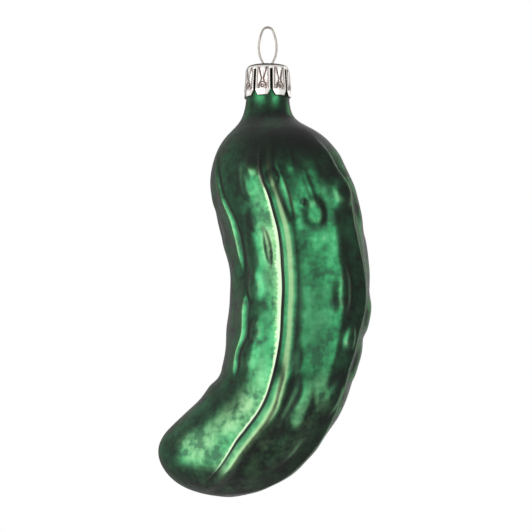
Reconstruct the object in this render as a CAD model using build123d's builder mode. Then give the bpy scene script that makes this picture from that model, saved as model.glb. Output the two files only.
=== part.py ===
from build123d import *
import os
from math import asin, atan, atan2, cos, degrees, exp, hypot, pi, radians, sin, sqrt

# A blown glass gherkin ornament: a silvered and lacquered glass body with a drawn neck, a stamped
# crown cap over the neck, and a sprung wire whose loop stands above the cap.
# Lengths are millimetres, angles degrees. The origin is the inside crown of the hanging loop, where
# a hook bears; +Z is up, the front of the gherkin faces -Y and the gherkin bends in the XZ plane.

# Neck of the glass, a tube that widens slowly downwards
CAP_DROP = 9.0            # inside crown of the loop down to the top of the cap
NECK_LENGTH = 7.9         # rim to the root of the neck
NECK_RIM_RADIUS = 4.25    # the rim is cut square, as the tube was cracked off
NECK_ROOT_RADIUS = 5.1
WALL = 0.8                # blown wall of the glass

# Body of the glass. The lists below hold shares of its length along the spine and of its radius
BODY_LENGTH = 101.8       # along the spine, from the root of the neck to the tip
BODY_RADIUS = 16.2        # of the plain outline, at its widest
SPINE_LEAD = 0.019        # share of the length that runs straight below the neck

# Arcs of the spine after that: (share of the length, turn); a positive turn leads to +X on the way down
SPINE_ARCS = [(0.157, 16), (0.118, -1), (0.197, -21), (0.177, -13.5), (0.157, -44), (0.175, -53)]

# Plain outline of the straightened body: (share of the length, share of the radius)
BODY_OUTLINE = [
    (0.039, 0.386), (0.074, 0.627), (0.108, 0.809), (0.157, 0.920), (0.246, 1.000), (0.373, 0.981),
    (0.491, 0.981), (0.589, 0.944), (0.688, 0.886), (0.786, 0.846), (0.855, 0.762), (0.914, 0.623),
    (0.963, 0.432),
]

# Paths of the front seam and of the ribs: (share of the length, angle from the front towards +X)
SEAM = [
    (0.04, -10), (0.17, -13.8), (0.24, -12.2), (0.39, -14.2), (0.49, -13.8), (0.68, -10.8), (0.78, -7.2),
    (0.82, -2), (0.853, 9), (0.888, 28), (0.92, 48), (0.98, 62),
]
RIBS = [
    [(0.04, -76), (0.18, -62), (0.25, -52.5), (0.35, -55), (0.45, -56)],
    [(0.37, -55), (0.46, -51), (0.57, -48.5), (0.61, -52), (0.73, -54)],
    [(0.06, 46), (0.27, 58), (0.33, 54), (0.41, 62), (0.47, 64), (0.58, 56), (0.64, 61), (0.90, 66)],
    [(0.06, -104), (0.30, -99), (0.65, -100)],
    [(0.06, 108), (0.30, 113), (0.90, 112)],
    [(0.06, 160), (0.40, 157), (0.86, 158)],
    [(0.06, -152), (0.40, -154), (0.80, -151)],
]
SEAM_HEIGHT = 1.3
SEAM_RISE = 10.0          # reach of its gentle flank
SEAM_FALL = 2.5           # reach of its steep flank
SEAM_POWER = 1.1          # above 1 hollows the flanks towards their feet
RIB_HEIGHT = 0.75
RIB_RISE = 4.2
RIB_FALL = 2.0
RIB_POWER = 1.5
CREST_ROUNDING = 0.4

# Flats between the ribs: (path of the middle, half width in degrees, share of the depth)
FLATS = [
    ([(0.16, 16), (0.49, 18), (0.59, 22), (0.73, 27)], 20, 1.0),
    ([(0.20, 88), (0.78, 90)], 16, 0.35),
    ([(0.20, 135), (0.78, 135)], 18, 0.5),
    ([(0.20, -178), (0.76, -178)], 22, 0.55),
    ([(0.18, -125), (0.72, -125)], 20, 0.5),
]
FLAT_DEPTH = 0.85

# Warts: (share of the length, angle, then the shares of a wart's half length, half breadth and height)
WARTS = [
    (0.182, -27, 1.0, 1.2, 0.9), (0.359, -28, 1.6, 1.0, 0.85), (0.210, 5.5, 0.7, 0.85, 0.8),
    (0.293, 21, 0.6, 1.0, 1.2), (0.259, 43.5, 0.9, 0.85, 1.4), (0.457, 35, 1.0, 0.65, 1.0),
    (0.295, 82, 1.0, 1.3, 1.3), (0.393, 90, 1.25, 1.3, 1.0), (0.491, 86, 0.75, 1.3, 1.5),
    (0.580, 82, 0.8, 1.3, 1.3), (0.162, -86, 1.1, 1.5, 1.0), (0.265, -88, 0.75, 1.5, -0.8),
    (0.442, -39, 0.85, 0.95, 0.85), (0.555, -34, 0.6, 0.75, 0.85), (0.619, -38, 0.8, 1.1, 1.0),
    (0.653, 52, 0.65, 0.85, 0.9), (0.236, 136, 1.1, 1.3, 1.3), (0.354, -128, 1.25, 1.3, 1.3),
    (0.442, 178, 1.4, 1.2, 1.2), (0.570, 138, 1.0, 1.3, 1.3), (0.648, -124, 1.0, 1.2, 1.2),
    (0.216, -174, 1.0, 1.3, 1.3), (0.442, 92, 1.75, 2.5, 1.15), (0.658, 95, 1.25, 2.5, 1.3),
    (0.206, 80, 1.25, 2.0, 0.85), (0.884, -80, 1.25, 2.5, 1.5),
]
WART_LENGTH = 4.0
WART_BREADTH = 2.0
WART_HEIGHT = 0.6
WART_POWER = 1.3          # above 1 flattens the top of a wart and steepens its side

RELIEF_START = 0.08       # shares of the length: the forms rise out of the shoulder here ...
RELIEF_FULL = 0.17        # ... and are at full height from here on
RELIEF_FADE = 0.10        # over which a seam, rib or flat comes up at its start and sinks at its end
SECTION_SPACING = 2.5     # along the outline
SECTION_POINTS = 96       # round each section
FRONT_SPACING = 0.6       # of those points at the seam, as a share of an even spacing

# Stamped cap: a sheet cup over the rim, slit into panels
CAP_RIM_FIT = 0.45        # between the rim and the side of the cap
CAP_HEM_FIT = 0.2         # between the neck and the ends of the tongues
CAP_SEAT = 0.1            # between the corner of the rim and the cap's shoulder, which rests on it
CAP_SHEET = 0.25
SHOULDER_RADIUS = 0.7     # inside the cap
CAP_HEIGHT = 7.5          # top face to the ends of the tongues
PANEL_COUNT = 8
PANEL_TURN = -13          # first panel's middle, from the front towards +X
SLIT_WIDTH = 0.55
SLIT_TOP_DROP = 1.3       # cap's top face down to the ends of the slits
TONGUE_WIDTH = 2.3
TONGUE_LENGTH = 1.2       # below the corners of a panel
EMBOSS_HEIGHT = 0.15
EMBOSS_LINE = 0.4         # breadth of the raised lines
EMBOSS_MARGIN = 0.3       # bare strip beside a slit
EMBOSS_WAIST = 0.8        # between the hourglass lines at their middle

# Sprung wire
WIRE_DIAMETER = 0.5
LOOP_CROWN_RADIUS = 1.3   # centreline at the top of the loop
LOOP_HALF_WIDTH = 2.08    # centreline at the widest point
LOOP_WIDEST_DROP = 4.6    # inside crown down to the widest point
THROAT_HALF_GAP = 0.68    # centreline of a leg to the axis, in the hole of the cap
THROAT_RADIUS = 1.0
HOLE_CLEARANCE = 0.3      # between the legs and the hole of the cap
LEG_CLEARANCE = 0.2       # between the end of a leg and the bore of the neck at the rim
LEG_DEPTH = 17.0          # below the rim of the neck

# Places worked out from the sizes above
CAP_TOP_Z = -CAP_DROP
CAP_UNDERSIDE_Z = CAP_TOP_Z - CAP_SHEET
CAP_HEM_Z = CAP_TOP_Z - CAP_HEIGHT
PANEL_CORNER_Z = CAP_HEM_Z + TONGUE_LENGTH
SEAT_DROP = SHOULDER_RADIUS - sqrt((SHOULDER_RADIUS - CAP_SEAT) ** 2 - (SHOULDER_RADIUS - CAP_RIM_FIT) ** 2)
RIM_Z = CAP_UNDERSIDE_Z - SEAT_DROP
NECK_SLOPE = (NECK_ROOT_RADIUS - NECK_RIM_RADIUS) / NECK_LENGTH
CAP_SLOPE = NECK_SLOPE - (CAP_RIM_FIT - CAP_HEM_FIT) / (RIM_Z - CAP_HEM_Z)
BORE_RADIUS = NECK_RIM_RADIUS - WALL
WIRE_RADIUS = WIRE_DIAMETER / 2
HOLE_RADIUS = THROAT_HALF_GAP + WIRE_RADIUS + HOLE_CLEARANCE
LEG_X = BORE_RADIUS - LEG_CLEARANCE - WIRE_RADIUS


def smooth_step(value, start, end):
    """0 before start, 1 after end, with an even ease between them."""
    share = min(max((value - start) / (end - start), 0), 1)
    return share * share * (3 - 2 * share)


def path_angle(path, share):
    """Angle of a path at a share of the length, straight between its points."""
    angle = path[0][1]
    for (start, first), (end, last) in zip(path, path[1:]):
        angle += (last - first) * min(max((share - start) / (end - start), 0), 1)
    return angle


def path_presence(path, share):
    """1 along a path, easing to 0 at both of its ends."""
    return smooth_step(share - path[0][0], 0, RELIEF_FADE) * smooth_step(path[-1][0] - share, 0, RELIEF_FADE)


def turn_between(angle, middle):
    """Signed turn from one angle to another, between -180 and 180."""
    return (angle - middle + 180) % 360 - 180


def ridge(arc, rise, fall, power):
    """Section of a seam or rib: a tent with a rounded crest, steeper on the right."""
    away = hypot(arc, CREST_ROUNDING) - CREST_ROUNDING
    return max(1 - away / (rise if arc < 0 else fall), 0) ** power


def relief(share, radius, angle):
    """Height of the seam, ribs, flats and warts over the plain outline, at a place on the body."""
    height = 0
    ridges = [(SEAM, SEAM_HEIGHT, SEAM_RISE, SEAM_FALL, SEAM_POWER)]
    ridges += [(path, RIB_HEIGHT, RIB_RISE, RIB_FALL, RIB_POWER) for path in RIBS]
    for path, crest, rise, fall, power in ridges:
        arc = radius * radians(turn_between(angle, path_angle(path, share)))
        height += crest * path_presence(path, share) * ridge(arc, rise, fall, power)
    for path, half_width, depth in FLATS:
        across = turn_between(angle, path_angle(path, share)) / half_width
        height -= FLAT_DEPTH * depth * path_presence(path, share) * max(1 - across**2, 0)
    for middle, wart_angle, length, breadth, rise in WARTS:
        along = BODY_LENGTH * (share - middle) / (WART_LENGTH * length)
        across = radius * radians(turn_between(angle, wart_angle)) / (WART_BREADTH * breadth)
        height += WART_HEIGHT * rise * exp(-((along**2 + across**2) ** WART_POWER))
    return height * smooth_step(share, RELIEF_START, RELIEF_FULL)


def sheet_radius(z, layer):
    """Radius of the cap's side at a height, a layer outside its inner face."""
    return NECK_RIM_RADIUS + CAP_RIM_FIT + CAP_SLOPE * (RIM_Z - z) + layer / cos(atan(CAP_SLOPE))


def sheet_line(layer, level, bend):
    """Half section of the cap, a layer outside its inner face, from the hole to the hem."""
    corner = (sheet_radius(level, layer), level)
    hem = (sheet_radius(CAP_HEM_Z, layer), CAP_HEM_Z)
    return FilletPolyline((HOLE_RADIUS, level), corner, hem, radius=bend)


def panel_point(z, inset):
    """Point on a panel's front, an inset away from the slit beside it."""
    half_pitch = sheet_radius(z, CAP_SHEET) * sin(radians(180 / PANEL_COUNT))
    return (half_pitch - SLIT_WIDTH / 2 - inset, z)


# Spine of the glass, from the middle of the rim down to the tip
with BuildLine(Plane.XZ) as spine:
    run = Line((0, RIM_Z), (0, RIM_Z - NECK_LENGTH - BODY_LENGTH * SPINE_LEAD))
    for share, arc_turn in SPINE_ARCS:
        run = JernArc(run @ 1, run % 1, BODY_LENGTH * share / radians(abs(arc_turn)), arc_turn)
spine_wire = spine.wire()

# Outline of the straightened glass: X is the distance from the rim, Y the radius
with BuildLine() as outline:
    neck_side = Line((0, NECK_RIM_RADIUS), (NECK_LENGTH, NECK_ROOT_RADIUS))
    Spline(
        neck_side @ 1,
        *[(NECK_LENGTH + BODY_LENGTH * along, BODY_RADIUS * across) for along, across in BODY_OUTLINE],
        (spine_wire.length, 0),
        tangents=(neck_side % 1, (0, -1)),
        tangent_scalars=(1, 1),
    )
outline_wire = outline.wire()


def section_plane(station):
    """Plane square to the spine; its X axis points to the front and its Y axis to the right."""
    place = spine_wire.position_at(station / spine_wire.length)
    heading = spine_wire.tangent_at(station / spine_wire.length)
    return Plane(origin=place, x_dir=(0, -1, 0), z_dir=-heading)


# Sections of the skin and the hollow; the skin's points crowd towards the front and follow the seam there
section_count = round(outline_wire.length / SECTION_SPACING)
knots = [index / SECTION_POINTS for index in range(SECTION_POINTS + 1)]
places = [2 * knot - 1 for knot in knots[:-1]]
spread = [180 * (FRONT_SPACING * place + (1 - FRONT_SPACING) * place**3) for place in places]
frontness = [(1 + cos(pi * place)) / 2 for place in places]
skins = []
with BuildSketch(Plane(origin=(0, 0, RIM_Z + WALL), x_dir=(0, -1, 0))) as mouth:
    Circle(BORE_RADIUS - NECK_SLOPE * WALL)
hollows = [mouth.sketch.face()]
for index in range(section_count):
    point = outline_wire.position_at(index / section_count)
    heading = outline_wire.tangent_at(index / section_count)
    share = (point.X - NECK_LENGTH) / BODY_LENGTH
    seam_angle = path_angle(SEAM, share)
    angles = [turn + seam_angle * front for turn, front in zip(spread, frontness)]
    reaches = [point.Y + relief(share, point.Y, angle) for angle in angles]
    rounds = [Vector(reach, 0).rotate(Axis.Z, angle) for reach, angle in zip(reaches, angles)]
    with BuildSketch(section_plane(point.X)) as skin:
        with BuildLine():
            add(Edge.make_spline(rounds, periodic=True, parameters=knots))
        make_face()
    skins.append(skin.sketch.face())
    sink = FLAT_DEPTH / 2 * smooth_step(share, RELIEF_START, RELIEF_FULL)
    with BuildSketch(section_plane(point.X + WALL * heading.Y)) as hollow:
        Circle(point.Y - WALL * heading.X - sink)
    hollows.append(hollow.sketch.face())

# Glass: one skin lofted through the sections, less the hollow that follows it one wall further in
with BuildPart() as glass_body:
    loft([*skins, Vertex(spine_wire @ 1)])
    loft([*hollows, Vertex(section_plane(spine_wire.length - WALL).origin)], mode=Mode.SUBTRACT)
glass_body.part.label = "glass_body"

# One slit of the cap with the cut-away corners of the panels beside it, drawn at the front
hem_radius = sheet_radius(CAP_HEM_Z, CAP_SHEET + EMBOSS_HEIGHT)
slit_top = CAP_TOP_Z - SLIT_TOP_DROP
notch_half_width = hem_radius * sin(radians(180 / PANEL_COUNT)) - TONGUE_WIDTH / 2
with BuildPart() as slit:
    with BuildSketch(Plane.XZ):
        with BuildLine():
            Polyline(
                (0, slit_top),
                (SLIT_WIDTH / 2, slit_top),
                (SLIT_WIDTH / 2, PANEL_CORNER_Z),
                (notch_half_width, CAP_HEM_Z),
                (notch_half_width, CAP_HEM_Z - CAP_SHEET),
                (0, CAP_HEM_Z - CAP_SHEET),
                close=True,
            )
        make_face()
        mirror(about=Plane.YZ)
    extrude(amount=hem_radius + CAP_SHEET)

# Embossed hourglass of one panel, drawn at the front and kept to a thin layer over the sheet
emboss_top = CAP_UNDERSIDE_Z - SHOULDER_RADIUS
emboss_middle = (emboss_top + PANEL_CORNER_Z) / 2
emboss_inset = EMBOSS_MARGIN + EMBOSS_LINE / 2
with BuildPart() as emboss:
    with BuildSketch(Plane.XZ):
        with BuildLine():
            Polyline(
                panel_point(emboss_top, emboss_inset),
                (EMBOSS_WAIST / 2, emboss_middle),
                panel_point(PANEL_CORNER_Z, emboss_inset),
            )
            mirror(about=Plane.YZ)
        trace(line_width=EMBOSS_LINE)
    extrude(amount=hem_radius + CAP_SHEET)
    with BuildSketch(Plane.XZ):
        with BuildLine():
            Polyline(
                (sheet_radius(CAP_TOP_Z, CAP_SHEET / 2), CAP_TOP_Z),
                (sheet_radius(CAP_TOP_Z, CAP_SHEET + EMBOSS_HEIGHT), CAP_TOP_Z),
                (sheet_radius(CAP_HEM_Z, CAP_SHEET + EMBOSS_HEIGHT), CAP_HEM_Z),
                (sheet_radius(CAP_HEM_Z, CAP_SHEET / 2), CAP_HEM_Z),
                close=True,
            )
        make_face()
    revolve(axis=Axis.Z, mode=Mode.INTERSECT)

# Cap: a cup of sheet that follows the rim of the neck, with its panels set out round the axis
with BuildPart() as crown_cap:
    with BuildSketch(Plane.XZ):
        with BuildLine():
            outside = sheet_line(CAP_SHEET, CAP_TOP_Z, SHOULDER_RADIUS + CAP_SHEET)
            inside = sheet_line(0, CAP_UNDERSIDE_Z, SHOULDER_RADIUS)
            Line(outside @ 0, inside @ 0)
            Line(outside @ 1, inside @ 1)
        make_face()
    revolve(axis=Axis.Z)
    with PolarLocations(0, PANEL_COUNT, start_angle=PANEL_TURN):
        add(emboss.part)
    with PolarLocations(0, PANEL_COUNT, start_angle=PANEL_TURN + 180 / PANEL_COUNT):
        add(slit.part, mode=Mode.SUBTRACT)
crown_cap.part.label = "crown_cap"

# Wire: an oval loop of tangent arcs, through the hole of the cap, then down inside the neck
widest_z = -LOOP_WIDEST_DROP
crown_rise = WIRE_RADIUS - LOOP_CROWN_RADIUS - widest_z
upper_radius = (LOOP_HALF_WIDTH**2 + crown_rise**2 - LOOP_CROWN_RADIUS**2) / (
    2 * (LOOP_HALF_WIDTH - LOOP_CROWN_RADIUS)
)
crown_turn = degrees(atan2(upper_radius - LOOP_HALF_WIDTH, crown_rise))
throat_z = CAP_TOP_Z - CAP_SHEET / 2
throat_fall = widest_z - throat_z
throat_inset = LOOP_HALF_WIDTH - THROAT_HALF_GAP
lower_radius = (throat_inset**2 + throat_fall**2) / (2 * throat_inset) - THROAT_RADIUS
lower_turn = degrees(asin(throat_fall / (lower_radius + THROAT_RADIUS)))
leg_fall = throat_z - (RIM_Z - LEG_DEPTH)
leg_spread = LEG_X - THROAT_HALF_GAP - THROAT_RADIUS
leg_chord = hypot(leg_spread, leg_fall)
leg_splay = degrees(asin(THROAT_RADIUS / leg_chord) + atan2(leg_spread, leg_fall))
with BuildPart() as hanger_wire:
    with BuildLine(Plane.XZ) as wire_path:
        crown = JernArc((0, WIRE_RADIUS), (1, 0), LOOP_CROWN_RADIUS, -crown_turn)
        upper = JernArc(crown @ 1, crown % 1, upper_radius, crown_turn - 90)
        lower = JernArc(upper @ 1, upper % 1, lower_radius, -lower_turn)
        throat = JernArc(lower @ 1, lower % 1, THROAT_RADIUS, lower_turn + leg_splay)
        Line(throat @ 1, (LEG_X, RIM_Z - LEG_DEPTH))
        mirror(about=Plane.YZ)
    route = wire_path.wire()
    with BuildSketch(Plane(origin=route @ 0, z_dir=route % 0)):
        Circle(WIRE_RADIUS)
    sweep(path=route)
hanger_wire.part.label = "hanger_wire"

os.makedirs("parts", exist_ok=True)
for piece in (hanger_wire, crown_cap, glass_body):
    export_step(piece.part, f"parts/{piece.part.label}.step")
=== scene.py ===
"""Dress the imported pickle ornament: a lacquered glass gherkin, its stamped cap and its hanging wire."""

import logging
from dataclasses import dataclass
from enum import Enum
from math import asin, atan, atan2, cos, degrees, hypot, pi, radians, sin, tan

import bpy
import numpy as np
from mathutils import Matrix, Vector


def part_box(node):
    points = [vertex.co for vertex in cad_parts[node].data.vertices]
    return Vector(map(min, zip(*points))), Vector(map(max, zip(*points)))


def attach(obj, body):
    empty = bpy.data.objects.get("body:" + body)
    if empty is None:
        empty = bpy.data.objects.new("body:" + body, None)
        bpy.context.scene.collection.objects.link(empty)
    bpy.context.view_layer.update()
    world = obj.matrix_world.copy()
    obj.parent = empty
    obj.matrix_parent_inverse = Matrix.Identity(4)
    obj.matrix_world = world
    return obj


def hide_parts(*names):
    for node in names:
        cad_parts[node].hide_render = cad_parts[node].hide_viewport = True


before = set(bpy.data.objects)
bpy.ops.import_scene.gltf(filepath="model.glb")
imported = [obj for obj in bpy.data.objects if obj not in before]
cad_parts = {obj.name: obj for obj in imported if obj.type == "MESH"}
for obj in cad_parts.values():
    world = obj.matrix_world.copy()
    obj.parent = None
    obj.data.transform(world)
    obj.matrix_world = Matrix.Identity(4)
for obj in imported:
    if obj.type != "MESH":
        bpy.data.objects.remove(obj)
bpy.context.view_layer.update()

Array = np.ndarray
Colour = tuple[float, float, float, float]
Path = tuple[tuple[float, float], ...]
Range = tuple[float, float]
Span = tuple[float, float, float, float]
Tree = bpy.types.NodeTree
Socket = bpy.types.NodeSocket
Piece = bpy.types.Object
Material = bpy.types.Material
MM = 0.001
IMAGE_SIDE = 532
LOG = logging.getLogger("pickle_ornament")


class Body(Enum):
    """Bodies of the frame that the pieces ride on; each has one node of the same name."""

    GLASS = "glass_body"
    CAP = "crown_cap"
    WIRE = "hanger_wire"


class Slot(Enum):
    """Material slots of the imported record."""

    GLASS = "lacquered_glass"
    CAP = "plated_cap"
    WIRE = "spring_wire"


def linear(colour: str) -> Colour:
    """Turn six hex digits of sRGB colour into linear red, green and blue with a full alpha."""
    share = np.array([int(colour[i:i + 2], 16) for i in (0, 2, 4)]) / 255
    value = np.where(share <= 0.04045, share / 12.92, ((share + 0.055) / 1.055) ** 2.4)
    return (*value.tolist(), 1.0)


def smooth_step(value: Array, start: float, end: float) -> Array:
    """0 before start, 1 after end, with an even ease between them."""
    share = np.clip((value - start) / (end - start), 0, 1)
    return share * share * (3 - 2 * share)


def span(value: Array, stops: Span) -> Array:
    """0 before the first stop, 1 from the second to the third, 0 again after the fourth."""
    start, full, last, end = stops
    return smooth_step(value, start, full) * smooth_step(end - value, 0, end - last)


def bell(value: Array, reach: float | Array) -> Array:
    """A smooth hump, 1 in the middle and near 0 at two reaches away."""
    return np.exp(-((value / reach) ** 2))


def turned(angle: Array) -> Array:
    """Angles in degrees, brought to between -180 and 180."""
    return (angle + 180) % 360 - 180


def run_of_arcs(lengths: list[float], turns: list[float], heading: float, samples: int) -> Array:
    """Follow tangent arcs in a plane: the heading grows evenly along each one, and the place is its sum.

    Args:
        lengths: length of each arc.
        turns: degrees that each arc turns to the left.
        heading: degrees of the first direction, from the first axis.
        samples: points along the run.

    Returns:
        One row for each point: distance, first place, second place, heading in radians.
    """
    ends = np.r_[0, np.cumsum(lengths)]
    distance = np.linspace(0, ends[-1], samples)
    angle = np.radians(heading + np.interp(distance, ends, np.r_[0, np.cumsum(turns)]))
    step = np.diff(distance)
    ways = np.array([np.cos(angle), np.sin(angle)])
    places = np.cumsum(step * (ways[:, 1:] + ways[:, :-1]) / 2, axis=1)
    return np.column_stack([distance, np.vstack([[0, 0], places.T]), angle])


def curve_through(points: Array, first: tuple, last: tuple, samples: int) -> Array:
    """Draw a cubic curve through points, with no jump of bend at them.

    Each stretch is the cubic of its two ends and their tangents, and the tangents solve the equations
    that make the second derivatives meet; the parameter is the chord length.

    Args:
        points: one row for each point.
        first: direction at the first point.
        last: direction at the last point.
        samples: points along the curve.

    Returns:
        Points along the curve.
    """
    chord = np.linalg.norm(np.diff(points, axis=0), axis=1)
    ends = np.r_[0, np.cumsum(chord)]
    inner = np.arange(1, len(points) - 1)
    system = np.eye(len(points))
    system[inner, inner - 1] = 1 / chord[:-1]
    system[inner, inner] = 2 / chord[:-1] + 2 / chord[1:]
    system[inner, inner + 1] = 1 / chord[1:]
    slope = np.diff(points, axis=0) / chord[:, None]
    meet = 3 * (slope[:-1] / chord[:-1, None] + slope[1:] / chord[1:, None])
    tangent = np.linalg.solve(system, np.vstack([first, meet, last]))
    place = np.linspace(0, ends[-1], samples)
    index = np.clip(np.searchsorted(ends, place, side="right") - 1, 0, len(chord) - 1)
    size = chord[index][:, None]
    share = (place - ends[index])[:, None] / size
    return (
        (1 + 2 * share) * (1 - share) ** 2 * points[index]
        + share * (1 - share) ** 2 * size * tangent[index]
        + share**2 * (3 - 2 * share) * points[index + 1]
        + share**2 * (share - 1) * size * tangent[index + 1]
    )


def by_length(points: Array, spacing: float) -> Array:
    """Set out points about a spacing apart along a line; all columns follow the first two."""
    run = np.r_[0, np.cumsum(np.linalg.norm(np.diff(points[:, :2], axis=0), axis=1))]
    place = np.linspace(0, run[-1], round(run[-1] / spacing) + 1)
    return np.column_stack([np.interp(place, run, column) for column in points.T])


def ring_faces(rows: int, columns: int) -> Array:
    """Quads of a grid that closes on itself across its columns."""
    row, column = np.meshgrid(np.arange(rows - 1), np.arange(columns), indexing="ij")
    beside = (column + 1) % columns
    first, after = row * columns, (row + 1) * columns
    quads = [first + column, first + beside, after + beside, after + column]
    return np.stack(quads, axis=-1).reshape(-1, 4)


def fan_faces(pole: int, ring: Array) -> Array:
    """Triangles from one vertex to a closed ring of vertices."""
    return np.column_stack([np.full(len(ring), pole), ring, np.roll(ring, -1)])


def new_object(name: str, data: bpy.types.ID) -> Piece:
    """Link an object for new data to the scene."""
    thing = bpy.data.objects.new(name, data)
    bpy.context.scene.collection.objects.link(thing)
    return thing


def make_piece(name: str, points: Array, quads: Array, triangles: Array) -> Piece:
    """Put a surface into a smooth mesh object at the origin.

    Args:
        name: name of the piece.
        points: one row for each vertex, in millimetres.
        quads: faces of four vertices.
        triangles: faces of three vertices.

    Returns:
        The new object, linked to the scene.
    """
    mesh = bpy.data.meshes.new(name)
    corners = np.concatenate([quads.ravel(), triangles.ravel()]).astype(np.int32)
    sides = np.concatenate([np.full(len(quads), 4), np.full(len(triangles), 3)])
    starts = np.r_[0, np.cumsum(sides)[:-1]]
    mesh.vertices.add(len(points))
    mesh.vertices.foreach_set("co", (points * MM).astype(np.float32).ravel())
    mesh.loops.add(len(corners))
    mesh.loops.foreach_set("vertex_index", corners)
    mesh.polygons.add(len(sides))
    mesh.polygons.foreach_set("loop_start", starts.astype(np.int32))
    mesh.polygons.foreach_set("use_smooth", np.ones(len(sides), bool))
    mesh.update(calc_edges=True)
    mesh.validate()
    return new_object(name, mesh)


def make_tube(name: str, rows: Array, poles: Array, flip: bool = False) -> Piece:
    """Make a piece from rings of points, closed by a pole at each end.

    Args:
        name: name of the piece.
        rows: the rings, with the three coordinates last, in millimetres.
        poles: the points that close the first and the last ring.
        flip: turns all faces the other way round.

    Returns:
        The new object, linked to the scene.
    """
    columns, count = rows.shape[1], rows.shape[0] * rows.shape[1]
    ring, way = np.arange(columns), -1 if flip else 1
    quads = ring_faces(len(rows), columns)
    triangles = np.vstack([fan_faces(count, ring)[:, ::-1], fan_faces(count + 1, ring + count - columns)])
    points = np.vstack([rows.reshape(-1, 3), poles])
    return make_piece(name, points, quads[:, ::way], triangles[:, ::way])


def paint_attribute(piece: Piece, name: str, values: Array) -> None:
    """Store one number for each vertex, for a finish that follows the surface."""
    layer = piece.data.attributes.new(name, "FLOAT", "POINT")
    layer.data.foreach_set("value", values.astype(np.float32).ravel())


def seat(piece: Piece, body: Body, slot: Slot, *finishes: Material) -> None:
    """Finish a piece and hand it to its body of the frame, in place of the plain node."""
    for finish in finishes:
        piece.data.materials.append(finish)
    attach(piece, body.value)
    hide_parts(body.value)
    LOG.info("%s: %d vertices on %s", piece.name, len(piece.data.vertices), body.value)


def fill_inputs(tree: Tree, node: bpy.types.Node, inputs: dict) -> None:
    """Link or set each named or numbered input of a node."""
    for name, value in inputs.items():
        if isinstance(value, Socket):
            tree.links.new(value, node.inputs[name])
        else:
            node.inputs[name].default_value = value


def add_node(tree: Tree, kind: str, inputs: dict | None = None, **settings: object) -> bpy.types.Node:
    """Add a node with its settings and links.

    Args:
        tree: tree of the material.
        kind: Blender's name of the node type.
        inputs: value or output socket for each named or numbered input.
        settings: attributes of the node.

    Returns:
        The new node.
    """
    node = tree.nodes.new(kind)
    for name, value in settings.items():
        setattr(node, name, value)
    fill_inputs(tree, node, inputs or {})
    return node


def object_place(tree: Tree) -> Socket:
    """Places in the object's own coordinates."""
    return add_node(tree, "ShaderNodeTexCoord").outputs["Object"]


def attribute(tree: Tree, name: str) -> Socket:
    """Number that the piece carries for each vertex."""
    return add_node(tree, "ShaderNodeAttribute", attribute_name=name).outputs["Fac"]


def noise(tree: Tree, place: Socket, size_mm: float, detail: float = 2.0, roughness: float = 0.5) -> Socket:
    """Noise from 0 to 1, with grains of a size in millimetres."""
    inputs = {"Vector": place, "Scale": 1 / (size_mm * MM), "Detail": detail, "Roughness": roughness}
    return add_node(tree, "ShaderNodeTexNoise", inputs).outputs["Fac"]


def graded(tree: Tree, value: Socket, start: float, end: float, low: float, high: float) -> Socket:
    """Number that runs from low to high while a value runs from start to end, and no further."""
    inputs = {"Value": value, "From Min": start, "From Max": end, "To Min": low, "To Max": high}
    return add_node(tree, "ShaderNodeMapRange", inputs).outputs["Result"]


def reckoned(tree: Tree, operation: str, *values: Socket | float) -> Socket:
    """Result of one operation on numbers."""
    return add_node(tree, "ShaderNodeMath", dict(enumerate(values)), operation=operation).outputs[0]


def mixed(tree: Tree, share: Socket, first: Socket | Colour, second: Socket | Colour) -> Socket:
    """Colour that turns from the first into the second as a share grows."""
    inputs = {"Factor": share, 6: first, 7: second}
    return add_node(tree, "ShaderNodeMix", inputs, data_type="RGBA").outputs[2]


def ramp(tree: Tree, factor: Socket, stops: list[tuple[float, Colour]]) -> Socket:
    """Colours along a factor, from pairs of place and linear colour."""
    node = add_node(tree, "ShaderNodeValToRGB", {"Fac": factor})
    band = node.color_ramp
    while len(band.elements) < len(stops):
        band.elements.new(0.5)
    for element, (place, colour) in zip(band.elements, stops):
        element.position = place
        element.color = colour
    return node.outputs["Color"]


def new_material(name: str) -> tuple[Material, Tree, bpy.types.Node]:
    """Start a material, named for the real one, and give its node tree and its shader with it."""
    material = bpy.data.materials.new(name)
    material.use_nodes = True
    return material, material.node_tree, material.node_tree.nodes["Principled BSDF"]


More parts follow.
